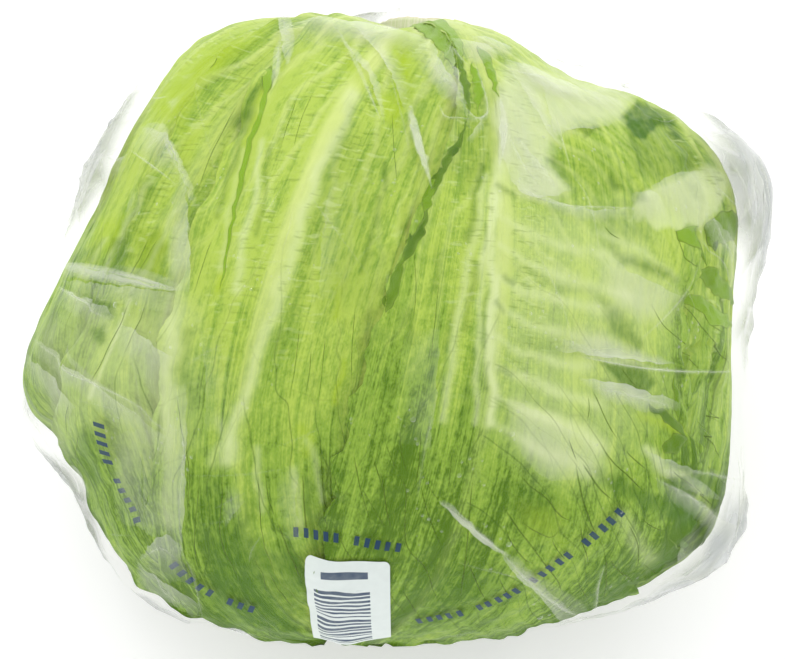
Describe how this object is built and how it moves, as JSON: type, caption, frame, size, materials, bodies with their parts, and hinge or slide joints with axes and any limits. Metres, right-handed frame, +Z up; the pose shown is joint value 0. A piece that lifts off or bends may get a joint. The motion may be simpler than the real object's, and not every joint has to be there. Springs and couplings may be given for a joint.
{
  "type": "iceberg lettuce in a film bag",
  "caption": "Head of iceberg lettuce with overlapping ribbed wrapper leaves round a dense core, lying in a clear film bag gathered and taped at the stem end.",
  "frame": {"origin": "on the surface that the head lies on, under the middle of the head, in the bag's pressed-flat underside", "axes": "+Z up, +X to the right across the head's broadest width, +Y towards the cut stem and the bag's taped neck, -Y towards the crown"},
  "size_m": [0.1999, 0.1891, 0.1572],
  "materials": {
    "inner_leaves": "crisp pale yellow-green leaf, satin",
    "wrapper_leaves": "mid green leaf with pale ribs and darker veins, damp and slightly glossy",
    "stem": "cut stem, creamy white going brown",
    "film": "clear thin film, glossy, slightly milky where it stands off the leaves",
    "tape": "white closing tape"
  },
  "bodies": {
    "root": {"inner_head": "inner_leaves", "stem": "stem", "leaf_under_left": "wrapper_leaves", "leaf_under_right": "wrapper_leaves", "leaf_left_outer": "wrapper_leaves", "leaf_left_inner": "wrapper_leaves", "leaf_right": "wrapper_leaves", "leaf_centre": "wrapper_leaves", "leaf_front": "wrapper_leaves", "film_bag": "film", "neck_tape": "tape"}
  },
  "joints": []
}
